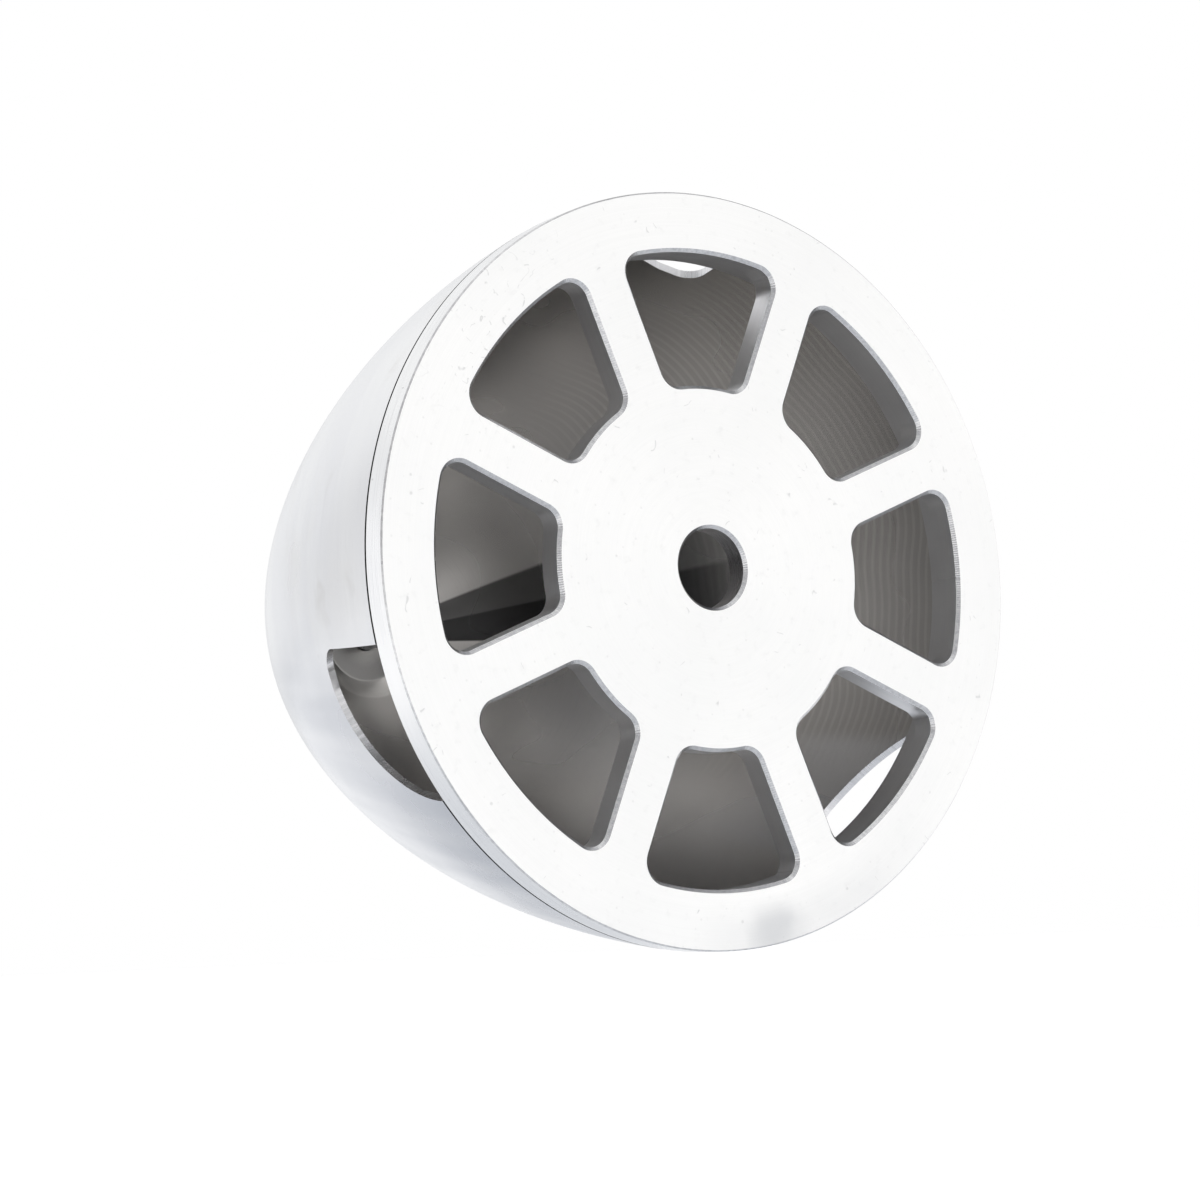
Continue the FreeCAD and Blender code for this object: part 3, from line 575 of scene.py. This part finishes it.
def plate_face():
    n = Nodes("plate_face_turned")
    r, y, cx, cz = n.cyl()
    rings = n.noise(n.join(n.math("MULTIPLY", r, 9000.0), n.math("MULTIPLY", cx, 2.0), n.math("MULTIPLY", cz, 2.0)), 1.0, 3.0, 0.6)
    cloud = n.noise(n.co, 38.0, 4.0, 0.6)
    fine = n.noise(n.co, 900.0, 3.0, 0.6)
    pits = n.pits(n.co, 520.0, 0.12, 0.06)
    micro = n.pits(n.vec("ADD", n.co, (0.3, 0.1, 0.2)), 1300.0, 0.22, 0.10)
    left = n.near(plate_point(-0.66, 0.58), 0.004, 0.008)
    right = n.near(plate_point(0.36, 0.60), 0.001, 0.004)
    worn = n.math("MAXIMUM", left, right)
    hair = n.scratches(n.co, 260.0, 0.012, 0.02)
    hair2 = n.scratches(n.co, 420.0, 0.018, 0.13, (0.7, 0.2, 0.1))
    hair = n.math("MAXIMUM", n.math("MULTIPLY", hair, 0.45), n.math("MULTIPLY", n.math("MULTIPLY", hair2, worn), 0.5))
    # painted reflection: a faint bluish-grey darker zone at the lower right of the face
    painted_reflection = n.math("MULTIPLY", n.near(plate_point(0.17, -0.95), 0.0010, 0.0062), n.ramp(n.noise(n.co, 130.0, 3.0), 0.35, 0.65, 0.45, 1.0))
    painted_reflection = n.math("MULTIPLY", painted_reflection, n.ramp(r, 0.0325, 0.0362))
    # painted reflection: the rim's lower right is darkened towards its edge
    turn = n.math("ARCTAN2", cz, cx)
    painted_rim_reflection = n.math("MULTIPLY", n.ramp(turn, -1.75, -1.45), n.ramp(turn, -1.20, -0.65, 1.0, 0.0))
    painted_rim_reflection = n.math("MULTIPLY", n.math("MULTIPLY", painted_rim_reflection, n.ramp(r, 0.0325, 0.0368)), n.ramp(n.noise(n.co, 90.0, 3.0), 0.3, 0.7, 0.6, 1.0))
    painted_reflection = n.math("MAXIMUM", painted_reflection, n.math("MULTIPLY", painted_rim_reflection, 0.38))
    col = n.mix(n.ramp(cloud, 0.35, 0.68), (0.955, 0.952, 0.945), (0.93, 0.93, 0.925))
    col = n.mix(n.math("MULTIPLY", n.ramp(rings, 0.35, 0.65), 0.30), col, (0.885, 0.885, 0.88))
    col = n.mix(n.math("MULTIPLY", n.ramp(fine, 0.55, 0.8), 0.4), col, (0.80, 0.80, 0.795))
    # the painted reflection mixes the face towards bluish grey
    col = n.mix(n.math("MULTIPLY", painted_reflection, 0.70), col, (0.57, 0.58, 0.60))
    col = n.mix(n.math("MULTIPLY", n.math("MAXIMUM", pits, n.math("MULTIPLY", micro, 0.5)), 0.4), col, (0.55, 0.55, 0.55))
    col = n.mix(n.math("MULTIPLY", hair, 0.75), col, (0.34, 0.34, 0.35))
    h = n.math("ADD", n.math("MULTIPLY", rings, 0.35), n.math("MULTIPLY", fine, 0.3))
    h = n.math("SUBTRACT", h, n.math("MULTIPLY", n.math("MAXIMUM", pits, micro), 0.9))
    h = n.math("SUBTRACT", h, n.math("MULTIPLY", hair, 1.2))
    rough = n.math("ADD", 0.34, n.math("MULTIPLY", n.math("SUBTRACT", cloud, 0.5), 0.22))
    return n.finish(col, rough, n.bump(h, 0.35, 0.00002), aniso=0.35)


def chamfer():
    n = Nodes("chamfer_milled")
    f = n.noise(n.co, 3200.0, 2.0, 0.6)
    g = n.noise(n.co, 90.0, 2.0, 0.5)
    col = n.mix(n.ramp(f, 0.3, 0.75), (0.74, 0.74, 0.745), (0.56, 0.565, 0.58))
    col = n.mix(n.math("MULTIPLY", n.ramp(g, 0.45, 0.7), 0.4), col, (0.42, 0.425, 0.44))
    return n.finish(col, n.ramp(f, 0.2, 0.8, 0.14, 0.24), n.bump(f, 0.15, 0.00001))


def rim_edge():
    n = Nodes("rim_edge_broken")
    f = n.noise(n.co, 2200.0, 3.0, 0.6)
    g = n.noise(n.co, 120.0, 3.0, 0.6)
    col = n.mix(n.ramp(f, 0.3, 0.75), (0.80, 0.80, 0.805), (0.60, 0.60, 0.61))
    col = n.mix(n.math("MULTIPLY", n.ramp(g, 0.5, 0.7), 0.4), col, (0.45, 0.45, 0.46))
    return n.finish(col, n.ramp(g, 0.2, 0.8, 0.20, 0.34), n.bump(f, 0.2, 0.00001))


def walls(name, dark, light, lines=0.5, rough=(0.24, 0.32)):
    """Milled wall: feed lines run round the opening, with slow patches of lighter and darker metal."""
    n = Nodes(name)
    r, y, cx, cz = n.cyl()
    x, yy, z = n.xyz(n.co)[:3]
    feed = n.noise(n.join(n.math("MULTIPLY", x, 18.0), n.math("MULTIPLY", yy, 6500.0), n.math("MULTIPLY", z, 18.0)), 1.0, 3.0, 0.65)
    teeth = n.noise(n.join(n.math("MULTIPLY", x, 5200.0), n.math("MULTIPLY", yy, 120.0), n.math("MULTIPLY", z, 5200.0)), 1.0, 2.0, 0.6)
    cloud = n.noise(n.co, 120.0, 2.0, 0.5)
    col = n.mix(n.ramp(cloud, 0.3, 0.7), dark, light)
    col = n.mix(n.math("MULTIPLY", n.ramp(feed, 0.4, 0.7), lines), col, tuple(0.62 * c for c in dark))
    col = n.mix(n.math("MULTIPLY", n.ramp(teeth, 0.5, 0.75), lines * 0.7), col, tuple(min(1.0, 1.12 * c) for c in light))
    h = n.math("ADD", n.math("MULTIPLY", feed, 0.7), n.math("MULTIPLY", teeth, 0.5))
    return n.finish(col, n.ramp(feed, 0.25, 0.75, rough[0], rough[1]), n.bump(h, 0.05, 0.00002))


def plate_front():
    n = Nodes("plate_front_turned")
    r, y, cx, cz = n.cyl()
    rings = n.noise(n.join(n.math("MULTIPLY", r, 5200.0), n.math("MULTIPLY", cx, 1.5), n.math("MULTIPLY", cz, 1.5)), 1.0, 3.0, 0.6)
    cloud = n.noise(n.co, 60.0, 3.0, 0.55)
    fine = n.noise(n.co, 1400.0, 2.0, 0.5)
    col = n.mix(n.ramp(rings, 0.3, 0.7), (0.74, 0.745, 0.75), (0.58, 0.585, 0.60))
    col = n.mix(n.math("MULTIPLY", n.ramp(cloud, 0.4, 0.7), 0.4), col, (0.66, 0.65, 0.63))
    h = n.math("ADD", rings, n.math("MULTIPLY", fine, 0.3))
    return n.finish(col, n.ramp(cloud, 0.3, 0.7, 0.27, 0.38), n.bump(h, 0.35, 0.00003), aniso=0.5)


def rim_side():
    n = Nodes("rim_side_turned")
    r, y, cx, cz = n.cyl()
    feed = n.noise(n.join(n.math("MULTIPLY", cx, 4.0), n.math("MULTIPLY", y, 7000.0), n.math("MULTIPLY", cz, 4.0)), 1.0, 3.0, 0.6)
    cloud = n.noise(n.co, 55.0, 3.0, 0.6)
    nicks = n.pits(n.join(n.math("MULTIPLY", cx, 0.9), n.math("MULTIPLY", y, 14.0), n.math("MULTIPLY", cz, 0.9)), 60.0, 0.2, 0.10)
    col = n.mix(n.ramp(cloud, 0.35, 0.7), (0.90, 0.905, 0.91), (0.84, 0.845, 0.855))
    col = n.mix(n.math("MULTIPLY", n.ramp(feed, 0.45, 0.7), 0.35), col, (0.62, 0.625, 0.64))
    col = n.mix(n.math("MULTIPLY", nicks, 0.5), col, (0.42, 0.42, 0.43))
    return n.finish(col, n.ramp(cloud, 0.3, 0.7, 0.22, 0.30), n.bump(n.math("SUBTRACT", feed, n.math("MULTIPLY", nicks, 0.8)), 0.25, 0.00002), aniso=0.4)


def cone_outside():
    n = Nodes("cone_polished")
    r, y, cx, cz = n.cyl()
    brush = n.noise(n.join(n.math("MULTIPLY", cx, 3.0), n.math("MULTIPLY", y, 5200.0), n.math("MULTIPLY", cz, 3.0)), 1.0, 3.0, 0.62)
    bands = n.noise(n.join(n.math("MULTIPLY", cx, 0.8), n.math("MULTIPLY", y, 190.0), n.math("MULTIPLY", cz, 0.8)), 1.0, 2.0, 0.5)
    cloud = n.noise(n.co, 34.0, 4.0, 0.62, 0.4)
    drag = n.noise(n.join(n.math("MULTIPLY", cx, 5.0), n.math("MULTIPLY", y, 110.0), n.math("MULTIPLY", cz, 5.0)), 1.0, 4.0, 0.6, 0.2)
    pits = n.pits(n.co, 260.0, 0.10, 0.05)
    hair = n.scratches(n.co, 150.0, 0.004, -0.02, (0.4, 0.9, 0.3))
    col = n.mix(n.ramp(bands, 0.3, 0.7), (0.86, 0.865, 0.87), (0.82, 0.825, 0.84))
    col = n.mix(n.math("MULTIPLY", n.ramp(cloud, 0.5, 0.75), 0.5), col, (0.76, 0.745, 0.71))
    col = n.mix(n.math("MULTIPLY", n.ramp(drag, 0.58, 0.8), 0.45), col, (0.60, 0.585, 0.56))
    col = n.mix(n.math("MULTIPLY", n.ramp(brush, 0.5, 0.75), 0.22), col, (0.64, 0.65, 0.67))
    col = n.mix(n.math("MULTIPLY", pits, 0.4), col, (0.45, 0.45, 0.45))
    col = n.mix(n.math("MULTIPLY", hair, 0.3), col, (0.5, 0.5, 0.52))
    # painted shade: the underside is darkened towards bluish grey, most near the plate, in place of the darker floor it
    # would mirror
    painted_under_shade = n.math("MULTIPLY", n.ramp(cz, -0.38, -0.08, 1.0, 0.0), n.ramp(n.noise(n.join(n.math("MULTIPLY", cx, 9.0), n.math("MULTIPLY", y, 22.0), n.math("MULTIPLY", cz, 9.0)), 1.0, 2.0), 0.3, 0.7, 0.74, 1.0))
    col = n.mix(n.math("MULTIPLY", n.math("MULTIPLY", painted_under_shade, n.ramp(y, 0.030, 0.062, 1.0, 0.3)), 0.95), col, (0.47, 0.49, 0.535))
    h = n.math("SUBTRACT", n.math("ADD", n.math("MULTIPLY", brush, 0.5), n.math("MULTIPLY", bands, 0.3)), n.math("MULTIPLY", pits, 0.8))
    rough = n.math("ADD", 0.20, n.math("MULTIPLY", n.ramp(cloud, 0.35, 0.75), 0.10))
    return n.finish(col, rough, n.bump(h, 0.22, 0.00002), aniso=0.45)


def cone_inside():
    n = Nodes("cone_inside_turned")
    r, y, cx, cz = n.cyl()
    x, yy, z = n.xyz(n.co)[:3]
    warp = n.noise(n.join(n.math("MULTIPLY", x, 1.0), n.math("MULTIPLY", yy, 0.35), n.math("MULTIPLY", z, 1.0)), 62.0, 1.0, 0.4)
    wy = n.math("ADD", y, n.math("MULTIPLY", n.math("SUBTRACT", warp, 0.5), 0.0052))
    rings = n.math("SINE", n.math("MULTIPLY", wy, 2 * math.pi / 0.00105))
    close = n.math("SINE", n.math("MULTIPLY", y, 2 * math.pi / 0.00021))
    fine = n.noise(n.join(n.math("MULTIPLY", cx, 2.0), n.math("MULTIPLY", y, 5200.0), n.math("MULTIPLY", cz, 2.0)), 1.0, 3.0, 0.6)
    cloud = n.noise(n.co, 40.0, 2.0, 0.5)
    grain = n.noise(n.co, 1500.0, 2.0, 0.6)
    # the turning rings are real, but their bright colour is a painted highlight: it shows on the right and upper side,
    # and fades out to the left and lower left
    side = n.math("MULTIPLY", n.ramp(n.math("ADD", n.math("MULTIPLY", cx, 0.9), n.math("MULTIPLY", cz, 0.25)), 0.45, 0.75, 0.0, 1.0), n.ramp(y, 0.040, 0.052, 1.0, 0.0))
    col = n.mix(n.ramp(cloud, 0.3, 0.7), (0.74, 0.724, 0.706), (0.69, 0.678, 0.669))
    col = n.mix(n.math("MULTIPLY", n.math("MULTIPLY", n.ramp(rings, -0.1, 1.0), side), 0.46), col, (0.95, 0.94, 0.92))
    col = n.mix(n.math("MULTIPLY", n.ramp(close, 0.2, 1.0), 0.10), col, (0.62, 0.61, 0.60))
    col = n.mix(n.math("MULTIPLY", n.ramp(fine, 0.5, 0.75), 0.20), col, (0.56, 0.553, 0.547))
    col = n.mix(n.math("MULTIPLY", n.ramp(grain, 0.55, 0.8), 0.14), col, (0.60, 0.59, 0.583))
    turn = n.math("ARCTAN2", cz, cx)
    # painted highlight: a bright band on the inside's lower side, short of the nose
    low = n.math("MULTIPLY", n.ramp(turn, -0.80, -0.55, 1.0, 0.0), n.ramp(turn, -2.4, -1.6))
    col = n.mix(n.math("MULTIPLY", n.math("MULTIPLY", low, n.ramp(y, 0.036, 0.054, 1.0, 0.0)), 0.95), col, (1.0, 0.985, 0.965))
    # painted highlight: a bluish-white streak on the lower side near the plate
    painted_glint = n.math("MULTIPLY", n.ramp(turn, -0.42, -0.50), n.ramp(turn, -0.98, -0.86))
    col = n.mix(n.math("MULTIPLY", n.math("MULTIPLY", painted_glint, n.ramp(y, 0.018, 0.034, 1.0, 0.0)), 0.9), col, (0.98, 0.985, 1.0))
    # painted shade: dark wedges along the meridians, black at their core, stand in for reflected dark surroundings and
    # grow in towards the nose
    dark_wedge_fade_in = n.ramp(y, 0.026, 0.042)
    painted_dark_wedge = n.math("MULTIPLY", n.ramp(turn, 0.425, 0.455, 1.0, 0.0), n.ramp(turn, -0.062, -0.042))
    painted_black_core = n.math("MULTIPLY", n.ramp(turn, 0.200, 0.225, 1.0, 0.0), n.ramp(turn, -0.062, -0.042))
    col = n.mix(n.math("MULTIPLY", n.math("MULTIPLY", painted_dark_wedge, dark_wedge_fade_in), 0.92), col, (0.12, 0.12, 0.122))
    col = n.mix(n.math("MULTIPLY", n.math("MULTIPLY", painted_black_core, n.ramp(y, 0.030, 0.045)), 0.85), col, (0.04, 0.04, 0.042))
    # painted highlight on the last ring before the nose, and painted shade on the flat round the screw hole behind it
    ring = n.math("MULTIPLY", n.ramp(r, 0.00500, 0.00545), n.ramp(r, 0.00715, 0.00745, 1.0, 0.0))
    deep = n.math("MULTIPLY", n.ramp(r, 0.00490, 0.00530, 1.0, 0.0), n.ramp(r, 0.0016, 0.0040))
    past = n.ramp(y, 0.060, 0.064)
    col = n.mix(n.math("MULTIPLY", n.math("MULTIPLY", ring, past), 0.75), col, (0.95, 0.94, 0.92))
    col = n.mix(n.math("MULTIPLY", n.math("MULTIPLY", deep, past), 0.70), col, (0.40, 0.395, 0.39))
    h = n.math("ADD", n.math("MULTIPLY", n.math("MULTIPLY", rings, side), 0.35), n.math("MULTIPLY", fine, 0.5))
    rough = n.math("ADD", 0.24, n.math("MULTIPLY", cloud, 0.07))
    return n.finish(col, rough, n.bump(h, 0.20, 0.00002), aniso=0.5)


def steel(name, base, lines):
    n = Nodes(name)
    r, y, cx, cz = n.cyl()
    feed = n.noise(n.join(n.math("MULTIPLY", cx, 2.0), n.math("MULTIPLY", y, 9000.0), n.math("MULTIPLY", cz, 2.0)), 1.0, 2.0, 0.6)
    cloud = n.noise(n.co, 900.0, 3.0, 0.6)
    col = n.mix(n.ramp(cloud, 0.3, 0.7), base, tuple(0.72 * c for c in base))
    col = n.mix(n.math("MULTIPLY", n.ramp(feed, 0.45, 0.7), lines), col, tuple(0.5 * c for c in base))
    return n.finish(col, n.ramp(cloud, 0.3, 0.7, 0.26, 0.40), n.bump(n.math("ADD", feed, cloud), 0.25, 0.00002))


m_face, m_chamfer, m_front, m_rim = plate_face(), chamfer(), plate_front(), rim_side()
m_wall = walls("window_wall_milled", (0.80, 0.80, 0.815), (0.87, 0.875, 0.89), 0.06, (0.38, 0.46))
m_bore = walls("bore_wall_reamed", (0.46, 0.46, 0.48), (0.62, 0.62, 0.64), 0.35)
m_out, m_in = cone_outside(), cone_inside()
m_cut = walls("cutout_wall_milled", (0.72, 0.72, 0.74), (0.84, 0.84, 0.85), 0.3)
m_seam = walls("seam_shadowed", (0.012, 0.012, 0.013), (0.03, 0.03, 0.03), 0.4)
m_seat = walls("seat_turned", (0.55, 0.55, 0.56), (0.72, 0.72, 0.73), 0.4)
# the socket's copy of the screw steel is darker: painted shade in the recess
m_screw, m_socket = steel("screw_steel", (0.46, 0.46, 0.47), 0.35), steel("screw_socket_steel", (0.30, 0.30, 0.31), 0.3)

plate = build_plate([m_face, m_chamfer, m_wall, m_front, m_rim, m_bore, rim_edge(), m_seam])
cone = build_cone([m_out, m_in, m_cut, m_seat, m_seam])
screw = build_screw([m_screw, m_socket])
for piece, node, slot in ((plate, "back_plate", "plate"), (cone, "nose_cone", "cone"), (screw, "nose_screw", "screw")):
    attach(piece, "root")
    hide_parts(node)

# ==================================================== floor, light and camera
FLOOR_Z = -0.095
floor_mesh = bpy.data.meshes.new("floor")
S = 6.0
floor_mesh.from_pydata([(-S, -S, FLOOR_Z), (S, -S, FLOOR_Z), (S, S, FLOOR_Z), (-S, S, FLOOR_Z)], [], [(0, 1, 2, 3)])
floor = bpy.data.objects.new("floor", floor_mesh)
bpy.context.scene.collection.objects.link(floor)
fl = Nodes("floor_pale")
fx_, fy_, fz_ = fl.xyz(fl.co)[:3]
away = fl.math("SQRT", fl.math("ADD", fl.math("MULTIPLY", fx_, fx_), fl.math("MULTIPLY", fy_, fy_)))
# painted shade: the floor is bluish grey round the object, fading to pale white farther out
floor_tone_and_painted_shade = fl.mix(fl.ramp(away, 0.10, 0.34), (0.64, 0.66, 0.69), (0.97, 0.97, 0.97))
floor_tone_and_painted_shade = fl.mix(fl.math("MULTIPLY", fl.noise(fl.co, 3.0, 3.0), 0.05), floor_tone_and_painted_shade, (0.90, 0.90, 0.90))
fl.finish(floor_tone_and_painted_shade, 0.7, metallic=0.0)
# painted glow: the floor also emits its own colour
fl.put(fl.p.inputs["Emission Color"], floor_tone_and_painted_shade)
fl.p.inputs["Emission Strength"].default_value = 0.30
floor_mesh.materials.append(fl.mat)

world = bpy.data.worlds.new("studio")
bpy.context.scene.world = world
world.use_nodes = True
wt = world.node_tree
bg = wt.nodes["Background"]
env = Nodes.__new__(Nodes)
env.t = wt
facing = env.new("ShaderNodeTexCoord").outputs["Generated"]


def lobe(direction, inner, outer):
    """1 towards a direction, falling smoothly to 0."""
    d = Vector(direction).normalized()
    return env.ramp(env.vec("DOT_PRODUCT", facing, tuple(d)), outer, inner)


# a bright tent with a few softer, darker panels, which the metal mirrors
tent = env.mix(lobe((0.0, 0.985, -0.15), 0.99, 0.80), (1.0, 1.0, 1.0), (0.84, 0.85, 0.875))
tent = env.mix(env.math("MULTIPLY", lobe((-0.35, 0.93, 0.10), 0.995, 0.93), 0.8), tent, (0.74, 0.74, 0.75))
tent = env.mix(lobe((-0.558, 0.822, 0.108), 0.995, 0.95), tent, (1.06, 1.06, 1.07))
tent = env.mix(lobe((0.90, 0.30, 0.30), 0.98, 0.55), tent, (0.62, 0.62, 0.63))
tent = env.mix(lobe((-0.90, -0.30, 0.60), 0.97, 0.60), tent, (0.72, 0.72, 0.73))
tent = env.mix(lobe((-0.82, -0.558, 0.108), 0.98, 0.70), tent, (0.62, 0.62, 0.63))
tent = env.mix(lobe((0.558, 0.108, 0.822), 0.97, 0.80), tent, (0.60, 0.60, 0.61))
tent = env.mix(lobe((0.558, 0.822, 0.108), 0.985, 0.85), tent, (0.90, 0.905, 0.915))
eye = env.new("ShaderNodeLightPath").outputs["Is Camera Ray"]
env.put(bg.inputs["Color"], env.mix(eye, tent, (1.0, 1.0, 1.0)))
bg.inputs["Strength"].default_value = 1.0


def softbox(name, place, aim, size, power):
    d = bpy.data.lights.new(name, "AREA")
    d.shape, d.size, d.size_y, d.energy = "RECTANGLE", size[0], size[1], power
    o = bpy.data.objects.new(name, d)
    o.location = place
    o.rotation_euler = (Vector(aim) - Vector(place)).to_track_quat("-Z", "Y").to_euler()
    bpy.context.scene.collection.objects.link(o)
    return o


softbox("key", (0.55, -0.85, 0.16), (0, 0.02, 0), (0.9, 0.9), 0.12)

cam_data = bpy.data.cameras.new("camera")
cam_data.lens, cam_data.sensor_width, cam_data.sensor_fit = 90.257, 36.0, "HORIZONTAL"
cam_data.clip_start, cam_data.clip_end = 0.01, 50.0
cam = bpy.data.objects.new("camera", cam_data)
bpy.context.scene.collection.objects.link(cam)
cam.matrix_world = Matrix(((0.82894, -0.03124, -0.55846, -0.17701),
                           (-0.55821, -0.10967, -0.82242, -0.24039),
                           (-0.03555, 0.99348, -0.10835, -0.03536),
                           (0, 0, 0, 1)))
bpy.context.scene.camera = cam
bpy.context.scene.view_settings.view_transform = "Standard"
